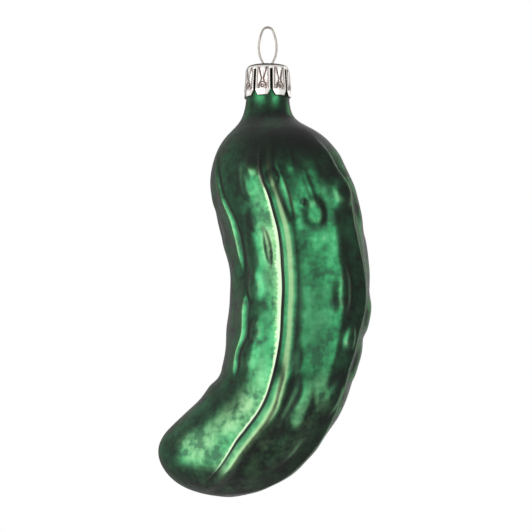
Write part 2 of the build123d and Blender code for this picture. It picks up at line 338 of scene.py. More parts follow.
@dataclass(frozen=True)
class MattLacquer:
    """Translucent green lacquer, brushed over silvered glass and left matt.

    The silvering throws light back through the green, so it shines like a metal under a matt skin. The
    coat lies uneven: it is painted darker in hollows and set patches, as lacquer pooling there and as
    painted shade, and paler on humps and on patches of rubbing, as thinned lacquer and as painted highlight.
    """

    # The darkest colours also paint shade, in hollows and as a shadow line on the seam; the palest also paint
    # highlights beside the seam, on humps and on patches of rubbing.
    pool: str = "0c3a22"
    deep: str = "12643c"
    mid: str = "24985a"
    light: str = "4cb878"
    pale: str = "a9dca0"
    # Bands across the seam: a painted highlight on its left, a painted shadow line on it, a painted highlight
    # on its right.
    worn: str = "8fd488"
    bare: str = "d6ebc6"
    yellow: str = "b4dfa0"
    seam_dark: str = "06140c"
    edge: str = "303030"
    spot_mm: float = 1.1
    cloud_mm: float = 4.0
    cloud_share: float = 0.7
    # Hollows darker: pooling lacquer and painted shade.
    pooled_at: float = -0.09
    pooled_share: float = 0.85
    # Humps paler: thinned lacquer and painted highlight.
    thin_at: Range = (0.03, 0.12)
    thin_share: float = 0.4
    patchy_at: Range = (0.4, 0.6)
    patchy_least: float = 0.1
    film_at: Range = (0.42, 0.6)
    film_silver: Range = (0.995, 0.985)
    # Patches of rubbing are less metallic, so they catch more light: part of their painted highlight.
    rubbed_silver: float = -0.35
    grain_mm: float = 0.35
    grain_depth_mm: float = 0.02
    grain_strength: float = 0.2
    roughness: float = 0.33
    coat_roughness: float = 0.45
    dust: float = 0.35
    dust_roughness: float = 0.6
    seam_reach: float = 4.0
    ragged: float = 3.0
    ragged_at: Range = (-0.3, -1.2)
    chip_mm: float = 0.8
    chip_roughness: float = 0.7

    def seam_bands(self) -> list[tuple[float, Colour]]:
        """Stops across the seam: pale on its left, for wear and a painted highlight, a painted shadow line on
        it, where lacquer also gathers, and thinned yellowish lacquer with a painted highlight on its right.
        """
        bands = [
            (-2.2, self.worn, 0.0), (-1.6, self.worn, 0.25), (-1.3, self.worn, 0.6), (-1.0, self.bare, 0.75),
            (-0.15, self.bare, 0.8), (0.02, self.seam_dark, 0.95), (0.52, self.seam_dark, 0.95),
            (0.68, self.mid, 0.4), (1.1, self.light, 0.3), (1.5, self.yellow, 0.65), (2.1, self.yellow, 0.55),
            (2.7, self.light, 0.0),
        ]
        return [
            ((place / self.seam_reach + 1) / 2, (*linear(tone)[:3], share)) for place, tone, share in bands
        ]

    def across_seam(self, tree: Tree, place: Socket, tone: Socket) -> Socket:
        """Lay the seam's painted highlights and shadow line over a tone, with the left border of the pale
        band chipped.
        """
        beside = attribute(tree, "beside_seam")
        ragged = graded(tree, beside, *self.ragged_at, 0.0, self.ragged)
        chips = noise(tree, place, self.chip_mm, roughness=self.chip_roughness)
        centred = reckoned(tree, "SUBTRACT", chips, 0.5)
        shifted = reckoned(tree, "MULTIPLY_ADD", centred, ragged, beside)
        across = graded(tree, shifted, -self.seam_reach, self.seam_reach, 0.0, 1.0)
        band = ramp(tree, across, self.seam_bands())
        share = reckoned(tree, "MULTIPLY", band.node.outputs["Alpha"], attribute(tree, "on_seam"))
        return mixed(tree, share, tone, band)

    def material(self) -> Material:
        """Build the lacquer on Object coordinates and the attributes of the glass."""
        material, tree, shader = new_material("matt_lacquer_on_silvered_glass")
        place = object_place(tree)
        spots = noise(tree, place, self.spot_mm, detail=1.0)
        clouds = noise(tree, place, self.cloud_mm)
        both = {"Factor": self.cloud_share, 2: spots, 3: clouds}
        blend = add_node(tree, "ShaderNodeMix", both, data_type="FLOAT").outputs[0]
        tones = [(0.38, self.deep), (0.5, self.mid), (0.65, self.light), (0.85, self.pale)]
        tone = ramp(tree, blend, [(stop, linear(colour)) for stop, colour in tones])
        # Painted shade in hollows and set patches, painted highlight on humps and patches of rubbing, laid
        # into the tone.
        hump = attribute(tree, "hump")
        pooled = graded(tree, hump, 0.0, self.pooled_at, 0.0, self.pooled_share)
        thin = graded(tree, hump, *self.thin_at, 0.0, self.thin_share)
        patchy = graded(tree, blend, *self.patchy_at, self.patchy_least, 1.0)
        rub = reckoned(tree, "MULTIPLY", attribute(tree, "rubbed"), patchy)
        for share, colour in ((pooled, self.pool), (thin, self.pale), (rub, self.pale)):
            tone = mixed(tree, share, tone, linear(colour))
        film = graded(tree, blend, *self.film_at, *self.film_silver)
        grain = noise(tree, place, self.grain_mm, detail=1.0)
        skin = {"Height": grain, "Strength": self.grain_strength, "Distance": self.grain_depth_mm * MM}
        fill_inputs(tree, shader, {
            "Base Color": self.across_seam(tree, place, tone),
            "Normal": add_node(tree, "ShaderNodeBump", skin).outputs["Normal"],
            "Metallic": reckoned(tree, "MULTIPLY_ADD", rub, self.rubbed_silver, film),
            "Roughness": self.roughness,
            "Specular Tint": linear(self.edge),
            "Coat Weight": 1.0,
            "Coat Roughness": self.coat_roughness,
            "Sheen Weight": self.dust,
            "Sheen Roughness": self.dust_roughness,
        })
        return material


@dataclass(frozen=True)
class StampedPlate:
    """Thin sheet, stamped and bright plated: a mirror broken by the embossing, with brownish painted shade in
    its grooves.
    """

    bright: str = "f1eee9"
    # Brownish painted shade in the grooves, along the slits, round the hem and on the shoulder.
    crease: str = "4a2d22"
    mark_mm: float = 0.5
    roughness: Range = (0.14, 0.3)

    def material(self) -> Material:
        """Build the plating, with brownish painted shade where the attribute of the grooves says so."""
        material, tree, shader = new_material("bright_plated_stamped_sheet")
        marks = noise(tree, object_place(tree), self.mark_mm)
        # Darker where painted shade lies.
        tone = mixed(tree, attribute(tree, "crease"), linear(self.bright), linear(self.crease))
        rough = graded(tree, marks, 0.0, 1.0, *self.roughness)
        fill_inputs(tree, shader, {"Base Color": tone, "Metallic": 1.0, "Roughness": rough})
        return material


@dataclass(frozen=True)
class MottledMetal:
    """Bare metal of two tones: grains of a size, drawn out along the height where that is flattened."""

    name: str
    dark: str
    light: str
    stops: Range
    grain_mm: float
    flatten: float
    roughness: float

    def material(self) -> Material:
        """Build the metal as a noise between its two tones."""
        material, tree, shader = new_material(self.name)
        squeezed = {"Vector": object_place(tree), "Scale": (1.0, 1.0, self.flatten)}
        grains = noise(tree, add_node(tree, "ShaderNodeMapping", squeezed).outputs["Vector"], self.grain_mm)
        tone = ramp(tree, grains, list(zip(self.stops, (linear(self.dark), linear(self.light)))))
        fill_inputs(tree, shader, {"Base Color": tone, "Metallic": 1.0, "Roughness": self.roughness})
        return material


SILVERING = MottledMetal("silvering_inside_blown_glass", "a9a8a2", "d6d6d2", (0.4, 0.6), 2.5, 1.0, 0.18)
DRAWN_WIRE = MottledMetal("drawn_spring_wire", "857d75", "b8b2aa", (0.35, 0.65), 0.12, 0.02, 0.28)


@dataclass(frozen=True)
class Rib:
    """A ridge along the body: the path of its crest, its height, the reach of its flanks and their hollow."""

    path: Path
    height: float
    rise: float
    fall: float
    power: float = 1.5
    crest: float = 0.35


@dataclass(frozen=True)
class Panel:
    """A flattened strip between ribs: the path of its middle, its half width in degrees and its depth."""

    path: Path
    half_width: float
    depth: float


@dataclass(frozen=True)
class Wart:
    """A flat-topped oval hump: place along and round the body, half length, half breadth and height."""

    distance: float
    angle: float
    length: float
    breadth: float
    height: float


@dataclass(frozen=True)
class Patch:
    """A spot of the lacquer: place along and round the body, reach along it, spread in degrees and share."""

    distance: float
    angle: float
    reach: float
    spread: float
    share: float

    def on(self, below: Array, angle: Array) -> Array:
        """Share of the spot at each place: a bell along the body times a bell round it."""
        return self.share * bell(below - self.distance, self.reach) * bell(angle - self.angle, self.spread)


@dataclass(frozen=True)
class Strip:
    """A strip right of the seam: distance from the crest, reach across, span along the body and share."""

    place: float
    reach: float
    along: Span
    share: float

    def on(self, beside: Array, below: Array) -> Array:
        """Share of the strip at each place: a bell across it, eased at both of its ends."""
        return self.share * bell(beside - self.place, self.reach) * span(below, self.along)


SEAM = Rib((
    (8, -10), (13.7, -12), (17, -13.8), (20.5, -13.5), (23.6, -12.2), (30.7, -12.2), (34, -13), (40, -14.2),
    (50, -13.8), (56.4, -11.8), (69, -10.8), (74, -9.2), (79, -7.2), (83.6, -2), (86.8, 8.8), (90.4, 28.5),
    (91.6, 45), (95, 55),
), 1.4, 10, 3, 1.4, 0.25)
RIBS = (
    SEAM,
    Rib(((4, -76), (18, -62), (22, -57), (25.4, -52.5), (29, -53), (36, -55), (43, -56)), 0.65, 4, 1.2),
    Rib(((42, -53), (47, -51), (53, -50), (58, -48.5), (62, -52), (74, -54)), 0.7, 4, 1.4),
    Rib((
        (6, 46), (22, 53), (26, 57.5), (28, 58), (33.3, 54), (38, 58), (41, 62), (47.5, 64), (52, 60),
        (59, 56), (65, 61), (70, 62.5), (77, 64), (92, 66),
    ), 0.8, 4, 1.7),
    Rib(((11, 0), (22, 2.5), (34, 4)), 0.7, 1.8, 4.2, 1),
    Rib(((6, -104), (30, -99), (50, -101), (66, -100)), 0.5, 4, 2.4),
    Rib(((6, 108), (30, 113), (60, 111), (92, 112)), 0.6, 4.5, 2.2),
    Rib(((6, 160), (40, 157), (88, 158)), 0.7, 5, 2.2),
    Rib(((6, -152), (40, -154), (82, -151)), 0.7, 5, 2.2),
)
PANELS = (
    Panel(((24, 16.5), (50, 17.5), (60, 21), (74, 26)), 17.5, 0.8),
    Panel(((20, 88), (80, 90)), 16, 0.3),
    Panel(((20, 135), (80, 135)), 18, 0.4),
    Panel(((20, -178), (78, -178)), 22, 0.45),
    Panel(((18, -125), (74, -125)), 20, 0.4),
)
WARTS = tuple(Wart(*sizes) for sizes in (
    (19, -25, 3.6, 2.2, 0.7), (36.5, -38, 5.5, 2.2, 0.5), (35.3, -23.2, 4, 0.6, -0.3),
    (19.5, -5.2, 1.2, 1, 0.35), (27.8, -28, 2.2, 1.6, 0.3), (26.6, 12.5, 0.7, 0.6, -0.15),
    (24.5, 19, 4, 1.2, 0.2), (29.6, 20.5, 2.5, 2.1, 0.6), (26.2, 49, 3.4, 2.6, 1.3),
    (46, 38.5, 3.6, 1.7, 0.5), (15, -20, 3, 1.4, 0.3), (15.5, 10, 3.4, 1.3, 0.3), (30, 82, 4, 2.4, 0.65),
    (40, 90, 5, 2.4, 0.5), (50, 86, 3, 2.4, 0.75), (59, 82, 3.2, 2.4, 0.7), (16.5, -86, 4.5, 3, 0.6),
    (27, -88, 3, 3, -0.5), (45, 92, 7, 4.5, 0.5), (67, 95, 5, 4.5, 0.6), (21, 80, 5, 3.6, 0.4),
    (92, -80, 9, 6, 0.8), (45, -39, 3.4, 1.9, 0.5), (56.5, -34, 2.4, 1.5, 0.5), (63, -38, 3.2, 2.2, 0.6),
    (54.6, 50, 2, 1.3, 0.5), (61.5, 3, 2.6, 1.8, -0.2), (66.5, 52, 2.6, 1.7, 0.55), (71, 25, 3.4, 2.2, 0.4),
    (68, 10, 3, 2, -0.3), (78, 34, 3.4, 2.6, 0.4), (24, 136, 4.5, 2.6, 0.8), (36, -128, 5, 2.6, 0.8),
    (45, 178, 5.5, 2.4, 0.7), (58, 138, 4, 2.6, 0.8), (66, -124, 4, 2.4, 0.7), (22, -174, 4, 2.6, 0.8),
))
# Patches of rubbing: paler, less metallic lacquer, painted highlight as well as wear.
RUBBED = (
    Patch(79, -22, 10, 13, 1), Patch(93, -6, 4.5, 20, 0.8), Patch(72, 38, 8, 14, 0.6),
    Patch(80, 16, 7, 14, 0.6), Patch(88, 50, 6, 24, 0.6), Patch(36, -19, 10, 6, 0.9),
)
# Darker patches: pooling lacquer and painted shade.
POOLED = (
    Patch(53, 15, 9, 12, 0.05), Patch(12, 30, 6, 40, 0.1), Patch(61.5, 3, 3, 6, 0.06),
    Patch(73, 16, 6, 16, 0.07),
)
BEAD = Strip(2.8, 1.7, (56, 70, 86, 94), 1.15)
# A paler strip right of the seam: painted highlight as well as wear.
RUBBED_STRIP = Strip(1.8, 0.5, (26, 44, 82, 90), 1)
# A darker strip right of the seam, in its trough: painted shade.
POOLED_STRIP = Strip(4, 0.8, (34, 44, 66, 74), 0.07)
CLOSER = ((7, -12, 3), (2.5, -55, 6), (1.5, 67, 8), (0.8, 5, 50))
SPINE_LEAD = 0.019
SPINE_ARCS = ((0.157, 16), (0.118, -1), (0.197, -21), (0.177, -13.5), (0.157, -44), (0.175, -53))
BODY_OUTLINE = (
    (0.039, 0.386), (0.074, 0.627), (0.108, 0.809), (0.157, 0.920), (0.246, 1.000), (0.373, 0.981),
    (0.491, 0.981), (0.589, 0.944), (0.688, 0.886), (0.786, 0.846), (0.855, 0.762), (0.914, 0.623),
    (0.963, 0.432),
)


@dataclass
class GlassBody:
    """The blown gherkin, in millimetres: a neck, a bent body and the ribs and warts on it.

    SPINE_ARCS are shares of the body's length with their turns, and BODY_OUTLINE shares of its length
    with shares of its radius; ribs, panels and warts are placed in millimetres below the root of the neck.
    CLOSER says how much closer the columns stand, at which angle and over what reach in degrees.
    """

    neck_length: float = 7.9
    rim_radius: float = 4.25
    root_radius: float = 5.1
    body_length: float = 101.8
    body_radius: float = 16.2
    wall: float = 0.8
    rows_mm: float = 0.42
    columns: int = 290
    inner_rows: int = 22
    least_radius: float = 0.05
    relief_from: Range = (8, 17)
    sink: float = 0.6
    fade: float = 10.0
    ease: float = 0.25
    seam_given: float = 0.5
    seam_angle: float = -12.0
    seam_sway: float = 100.0
    lean: float = 1.4
    steepness: float = 2.0
    hump_reach: float = 0.7
    line_edge: float = 0.55
    # Breadth of the pale band left of the seam, painted highlight as well as wear.
    worn: float = 0.35
    more_worn: float = 0.5
    worn_span: Span = (20, 40, 52, 64)
    stretch: float = 0.6
    bands_end: float = 92.0
    bands_fade: float = 12.0
    # Less of that pale strip in the middle of the body.
    spared: float = 0.6
    spared_span: Span = (36, 46, 56, 66)
    covered: float = 5.6
    shaded_place: float = 0.25
    wave_slope: float = 0.02
    wave_count: int = 18
    wave_sizes: Range = (4.5, 13.0)
    seed: int = 11

    def __post_init__(self) -> None:
        """Take the height of the rim from the frame, run the spine and draw the waves."""
        self.rim_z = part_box(Body.GLASS.value)[1].z / MM
        lengths = [self.body_length * share for share, _ in SPINE_ARCS]
        lead = self.neck_length + self.body_length * SPINE_LEAD
        turns = [0, *(turn for _, turn in SPINE_ARCS)]
        self.spine = run_of_arcs([lead, *lengths], turns, heading=-90, samples=8000)
        draw = np.random.default_rng(self.seed)
        sizes = draw.uniform(*self.wave_sizes, self.wave_count)
        ways = draw.normal(size=(self.wave_count, 3))
        self.waves = ways / np.linalg.norm(ways, axis=1)[:, None] * (2 * pi / sizes)[:, None]
        self.wave_heights = self.wave_slope * sizes / (2 * pi)
        self.wave_starts = draw.uniform(0, 2 * pi, self.wave_count)

    @classmethod
    def neck_slope(cls) -> float:
        """Growth of the neck's radius for each millimetre down."""
        return (cls.root_radius - cls.rim_radius) / cls.neck_length

    def outline(self) -> Array:
        """Half section of the straightened glass, from the tip to the rim.

        Returns:
            One row for each point: distance from the rim, radius.
        """
        body = [(self.neck_length + self.body_length * d, self.body_radius * r) for d, r in BODY_OUTLINE]
        points = np.array([(self.neck_length, self.root_radius), *body, (self.spine[-1, 0], 0)])
        slope = np.array([1, self.neck_slope()])
        line = curve_through(points, tuple(slope / np.linalg.norm(slope)), (0, -1), samples=3000)
        return np.vstack([line[::-1], [(0, self.rim_radius)]])

    def follow(self, path: Path, distance: Array) -> Array:
        """Angle of a path at each distance: straight runs between its points, eased over 3 mm."""
        places, angles = np.array(path, float).T
        steps = np.arange(-3, 3.1, 0.5)
        weights = bell(steps, 1.5)
        eased = (w * np.interp(distance + d, places, angles) for d, w in zip(steps, weights))
        return sum(eased) / weights.sum()

    def arc_from(self, path: Path, distance: Array, radius: Array, angle: Array) -> Array:
        """Length round the body from a path to each place, positive towards +X."""
        return radius * np.radians(turned(angle - self.follow(path, distance[:, :1])))

    def presence(self, path: Path, distance: Array) -> Array:
        """1 along a path, easing to 0 at both of its ends."""
        start, end = path[0][0], path[-1][0]
        return span(distance, (start, start + self.fade, end - self.fade, end))

    def ridge(self, arc: Array, rib: Rib) -> Array:
        """Section of a rib: a tent with its crest rounded, its flanks hollowed and a reach for each."""
        away = np.sqrt(arc**2 + rib.crest**2) - rib.crest
        return np.clip(1 - away / np.where(arc < 0, rib.rise, rib.fall), 0, 1) ** rib.power

    def relief(self, distance: Array, radius: Array, angle: Array) -> Array:
        """Height of the ribs, panels, warts and waves over the plain outline.

        Ribs are tents, and low down the seam gives part of its height to a round bead on its right. Panels
        are parabolas eased at their borders, warts ovals exp(-q^2) with q the sum of squares of two shares,
        longer above and towards the seam, and waves a sum of sines along set directions in space.

        Args:
            distance: below the root of the neck.
            radius: of the plain outline.
            angle: degrees from the front towards +X.

        Returns:
            The height.
        """
        row = distance[:, :1]
        height = np.zeros_like(angle)
        for rib in RIBS:
            arc = self.arc_from(rib.path, distance, radius, angle)
            height += rib.height * self.presence(rib.path, row) * self.ridge(arc, rib)
        arc = self.arc_from(SEAM.path, distance, radius, angle)
        given = self.seam_given * SEAM.height * span(row, BEAD.along)
        height += BEAD.on(arc, row) - given * self.ridge(arc, SEAM)
        for panel in PANELS:
            across = turned(angle - self.follow(panel.path, row)) / panel.half_width
            bowl = 1 - across**2
            height -= panel.depth * self.presence(panel.path, row) * (bowl + np.sqrt(bowl**2 + self.ease)) / 2
        for wart in WARTS:
            arc = radius * np.radians(turned(angle - wart.angle))
            along = distance - wart.distance
            inward = arc * np.sign(wart.angle - SEAM.path[0][1]) < 0
            length = wart.length * np.where(along < 0, self.lean, 1)
            breadth = wart.breadth * np.where(inward, self.lean, 1)
            share = (along / length) ** 2 + (arc / breadth) ** 2
            height += wart.height * np.exp(-share**self.steepness)
        places = self.surface(distance + self.neck_length, radius, angle)
        for wave, rise, start in zip(self.waves, self.wave_heights, self.wave_starts):
            height += rise * np.sin(places @ wave + start)
        return height * smooth_step(distance, *self.relief_from)

    def hump(self, distance: Array, radius: Array, angle: Array) -> Array:
        """How far a place stands above the mean of the places a reach away on four sides, per reach."""
        reach = self.hump_reach
        turn = np.degrees(reach / np.maximum(radius, 2.0))
        steps = ((reach, 0), (-reach, 0), (0, turn), (0, -turn))
        around = sum(self.relief(distance + down, radius, angle + side) for down, side in steps)
        return (self.relief(distance, radius, angle) - around / 4) / reach

    def angles(self) -> Array:
        """Angles of the columns, closer together at the seam and the front ribs."""
        fine = np.linspace(-180, 180, 7201)
        density = sum((more * bell(fine - place, reach) for more, place, reach in CLOSER), np.ones_like(fine))
        total = np.r_[0, np.cumsum((density[1:] + density[:-1]) / 2)]
        return np.interp(np.arange(self.columns) / self.columns * total[-1], total, fine)

    def surface(self, distance: Array, reach: Array, angle: Array) -> Array:
        """Places at a reach from the spine: the spine's point plus the reach across it, at an angle.

        Args:
            distance: along the spine from the rim.
            reach: from the spine.
            angle: degrees from the front towards +X.

        Returns:
            Points, with their three coordinates last.
        """
        run, *places = self.spine.T
        along, down, heading = (np.interp(distance, run, column) for column in places)
        side = reach * np.sin(np.radians(angle))
        front = reach * np.cos(np.radians(angle))
        return np.stack(
            [along - side * np.sin(heading), -front, self.rim_z + down + side * np.cos(heading)], axis=-1
        )

    def from_seam(self, below: Array, radius: Array, angle: Array) -> Array:
        """Distance from the seam as its painted bands count it: per breadth of the pale band on the left,
        stretched by the bead.
        """
        beside = self.arc_from(SEAM.path, below, radius, angle)
        breadth = self.worn + self.more_worn * span(below, self.worn_span)
        beside = beside / np.where(beside < 0, breadth, 1)
        stretched = self.line_edge + (beside - self.line_edge) / (1 + self.stretch * span(below, BEAD.along))
        return np.where(beside > self.line_edge, stretched, beside)

    def paints(self, below: Array, radius: Array, angle: Array) -> dict[str, Array]:
        """Numbers that the lacquer follows; the neck under the cap counts as the dark line, painted shade of
        the cap.

        Args:
            below: distance below the root of the neck.
            radius: of the plain outline.
            angle: degrees from the front towards +X.

        Returns:
            Place beside the seam, share of the seam's painted bands, hump less painted shade, and rubbing
            with its painted highlight.
        """
        beside = self.from_seam(below, radius, angle)
        shown = self.presence(SEAM.path, below) * smooth_step(below, *self.relief_from)
        right = smooth_step(self.bands_end - below, 0, self.bands_fade)
        shown = shown * np.where(beside > self.line_edge, right, 1)
        # Set patches and a strip lower the hump so the lacquer turns dark there: painted shade.
        hump = self.hump(below, radius, angle) - sum(patch.on(below, angle) for patch in POOLED)
        # Patches and a strip of rubbing, with their painted highlight, weaker in the middle of the body.
        rubbed = sum(patch.on(below, angle) for patch in RUBBED)
        spared = 1 - self.spared * span(below, self.spared_span)
        # The neck under the cap takes the dark line: painted shade of the cap on the neck and in its slits.
        under_cap = below + self.neck_length < self.covered
        return {
            "beside_seam": np.where(under_cap, self.shaded_place, beside),
            "on_seam": np.where(under_cap, 1, shown),
            "hump": hump - POOLED_STRIP.on(beside, below),
            "rubbed": rubbed + RUBBED_STRIP.on(beside, below) * spared,
        }

    def hollow(self, base: Array) -> Array:
        """Rows of the inside from the rim down: the outline moved in by the wall, sunk under the relief."""
        line = by_length(self.outline(), self.spine[-1, 0] / self.inner_rows)
        heading = np.gradient(line, axis=0)
        heading /= np.linalg.norm(heading, axis=1)[:, None]
        inner = line + self.wall * np.column_stack([-heading[:, 1], heading[:, 0]])
        inner = inner[:0:-1]
        inner[0, 0] = 0.0
        distance, angle = np.meshgrid(inner[:, 0], base, indexing="ij")
        sunk = self.sink * smooth_step(distance - self.neck_length, *self.relief_from)
        return self.surface(distance, np.maximum(inner[:, 1:2] - sunk, self.least_radius), angle)

    def build(self) -> Piece:
        """Make the glass as one closed skin: outside from the tip to the rim, then back down inside."""
        outside = by_length(self.outline(), self.rows_mm)[1:-1]
        base = self.angles()
        distance, base_angle = np.meshgrid(outside[:, 0], base, indexing="ij")
        radius = np.broadcast_to(outside[:, 1:2], distance.shape)
        below = distance - self.neck_length
        sway = self.follow(SEAM.path, below[:, :1]) - self.seam_angle
        angle = base_angle + sway * bell(base_angle - self.seam_angle, self.seam_sway)
        skin = self.surface(distance, radius + self.relief(below, radius, angle), angle)
        rim = self.surface(np.zeros_like(base), np.full_like(base, self.rim_radius), base)
        rows = np.concatenate([skin, rim[None], self.hollow(base)])
        poles = self.surface(self.spine[-1, 0] - np.array([0, self.wall]), np.zeros(2), np.zeros(2))
        piece = make_tube("gherkin_glass", rows, poles, flip=True)
        for name, share in self.paints(below, radius, angle).items():
            values = np.zeros(len(piece.data.vertices))
            values[:share.size] = share.ravel()
            paint_attribute(piece, name, values)
        quads = (len(rows) - 1) * self.columns
        inside = np.zeros(len(piece.data.polygons), np.int32)
        inside[(len(skin) + 1) * self.columns:quads] = 1
        inside[quads + self.columns:] = 1
        seat(piece, Body.GLASS, Slot.GLASS, MattLacquer().material(), SILVERING.material())
        piece.data.polygons.foreach_set("material_index", inside)
        return piece


@dataclass
class CrownCap:
    """The stamped cap, in millimetres: a sheet cup, slit into embossed panels that end in tongues."""

    sheet: float = 0.25
    rim_fit: float = 0.45
    hem_fit: float = 0.2
    hole_radius: float = 1.23
    shoulder_radius: float = 0.95
    panels: int = 8
    first_panel: float = -13.0
    slit: float = 0.55
    slit_drop: float = 1.3
    tongue_width: float = 2.3
    tongue_length: float = 1.2
    panel_columns: int = 48
    skirt_rows: int = 76
    emboss: float = 0.15
    stamped: Span = (0, 0.08, 0.96, 1.06)
    line: float = 0.17
    border: float = 0.5
    flute: float = 0.62
    waist: float = 0.5
    ring_radius: float = 0.62
    ring_rise: float = 0.95
    bead: float = 0.42
    bead_inset: float = 0.22
    bead_ripple: float = 0.25
    dot_side: float = 0.45
    dot_drop: float = 0.35
    flute_share: float = 0.4
    flute_end: Range = (0.4, 0.6)
    ring_gap: float = 0.3
    # Width of the painted shade beside the embossing and round the shoulder.
    crease: float = 0.26
    crease_side: float = 0.3
    ring_inset: float = 0.32
    border_crease: float = 0.17
    ring_crease: float = 0.18
    cut_crease: float = 0.14
    cut_fade: float = 0.3
    hem_crease: float = 0.16
    hem_share: float = 0.85
    # A band of painted shade round the shoulder of the cap.
    brown: float = 0.9
    brown_drop: float = 0.32
    brown_from: float = 0.7

    def __post_init__(self) -> None:
        """Take the heights of the cap from the frame, and its slope from the neck that it fits over."""
        self.top_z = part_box(Body.CAP.value)[1].z / MM
        self.hem_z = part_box(Body.CAP.value)[0].z / MM
        self.rim_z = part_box(Body.GLASS.value)[1].z / MM
        self.slope = GlassBody.neck_slope() - (self.rim_fit - self.hem_fit) / (self.rim_z - self.hem_z)

    def side_radius(self, height: Array | float) -> Array | float:
        """Radius of the outside of the panels at a height, without the embossing."""
        inner = GlassBody.rim_radius + self.rim_fit + self.slope * (self.rim_z - height)
        return inner + self.sheet / cos(atan(self.slope))

    def profile(self) -> tuple[Array, Array]:
        """Half section of the outside, from the hole over the shoulder to the hem.

        Returns:
            The radii and the heights of the rows.
        """
        bend, lean = self.shoulder_radius, atan(self.slope)
        middle = self.side_radius(self.top_z - bend) - bend / cos(lean)
        turn = np.linspace(0, pi / 2 - lean, 10)
        arc_r, arc_z = middle + bend * np.sin(turn), self.top_z - bend + bend * np.cos(turn)
        skirt_z = np.linspace(arc_z[-1], self.hem_z, self.skirt_rows)[1:]
        flat_r = np.linspace(self.hole_radius, middle, 10)[:-1]
        radius = np.concatenate([flat_r, arc_r, self.side_radius(skirt_z)])
        return radius, np.concatenate([np.full_like(flat_r, self.top_z), arc_z, skirt_z])

    def stamp(self, across: Array, height: Array, edge: Array) -> tuple[Array, Array]:
        """Embossing of a panel: an hourglass of two lines, flutes between them, a ring and beaded borders.

        The lines come in evenly to the waist halfway up, the flutes are a zigzag of the distance from the
        panel's middle, and lines, ring and beads are round humps beside grooves painted dark as shade.

        Args:
            across: distance from the panel's middle line.
            height: height on the cap.
            edge: distance from the panel's middle line to its slit.

        Returns:
            The height of the embossing, and the share of painted shade in the grooves.
        """
        low, high = self.hem_z + self.tongue_length, self.top_z - self.shoulder_radius
        level = (height - low) / (high - low)
        inside = span(level, self.stamped)
        out = np.abs(across)
        line_at = self.waist + (edge - self.border - self.waist) * np.abs(2 * level - 1)
        line = bell(out - line_at, self.line)
        off_ring = np.hypot(across, height - low - self.ring_rise) - self.ring_radius
        ring = bell(off_ring, self.line)
        dots = bell(np.hypot(out - self.dot_side, height - high + self.dot_drop), self.line * 1.3)
        ripple = 1 - self.bead_ripple + self.bead_ripple * np.cos(2 * pi * height / self.bead)
        beads = bell(edge - out - self.bead_inset, self.line * 0.8) * ripple
        zigzag = np.abs((across / self.flute) % 1 * 2 - 1)
        flutes = self.flute_share * zigzag * smooth_step(edge - out, *self.flute_end)
        flutes = flutes * smooth_step(off_ring, 0, self.ring_gap)
        drawn = np.maximum.reduce([line, ring, dots, beads, flutes])
        # Painted shade in the grooves beside the lines, the ring and the borders.
        creases = np.maximum.reduce([
            bell(out - line_at + self.crease_side, self.crease),
            bell(off_ring + self.ring_inset, self.crease),
            bell(edge - out - self.border, self.border_crease),
            bell(off_ring - self.crease_side, self.ring_crease),
        ]) * inside
        # Painted shade along the slits and round the hem.
        cut = bell(edge - out, self.cut_crease)
        cut = cut * smooth_step(self.top_z - self.slit_drop - height, -self.cut_fade, 0)
        hem = np.maximum(cut, bell(height - self.hem_z, self.hem_crease))
        return self.emboss * drawn * inside, np.maximum(creases, self.hem_share * hem)

    def build(self) -> Piece:
        """Make the cap as a sheet over rows of its profile, with the slits left out, then thicken it."""
        row_r, row_z = self.profile()
        pitch = 2 * pi / self.panels
        full = pitch / 2 - self.slit / 2 / row_r
        drop = np.clip((self.hem_z + self.tongue_length - row_z) / self.tongue_length, 0, 1)
        tongue = asin(self.tongue_width / 2 / self.side_radius(self.hem_z))
        half = full + (tongue - full) * drop
        share = np.linspace(-1, 1, self.panel_columns)
        panel = np.arange(self.panels) * pitch + radians(self.first_panel)
        angle = panel[:, None] + half[:, None, None] * share
        radius, height, _ = np.broadcast_arrays(row_r[:, None, None], row_z[:, None, None], angle)
        edge = radius * half[:, None, None]
        raised, crease = self.stamp(edge * share, height, edge)
        # A band of painted shade round the shoulder.
        shoulder = bell(height - self.top_z + self.brown_drop, self.crease)
        crease = np.maximum(crease, self.brown * shoulder * (radius > row_r.max() * self.brown_from))
        radius = radius + raised
        columns = self.panels * self.panel_columns
        points = np.stack([radius * np.sin(angle), -radius * np.cos(angle), height], axis=-1).reshape(-1, 3)
        quads = ring_faces(len(row_r), columns)
        last_of_panel = quads[:, 0] % self.panel_columns == self.panel_columns - 1
        slit = last_of_panel & (row_z[quads[:, 0] // columns] < self.top_z - self.slit_drop)
        piece = make_piece("crown_cap_sheet", points, quads[~slit][:, ::-1], np.zeros((0, 3), int))
        paint_attribute(piece, "crease", crease)
        wall = piece.modifiers.new("sheet_thickness", "SOLIDIFY")
        wall.thickness = self.sheet * MM
        wall.offset = -1
        seat(piece, Body.CAP, Slot.CAP, StampedPlate().material())
        return piece


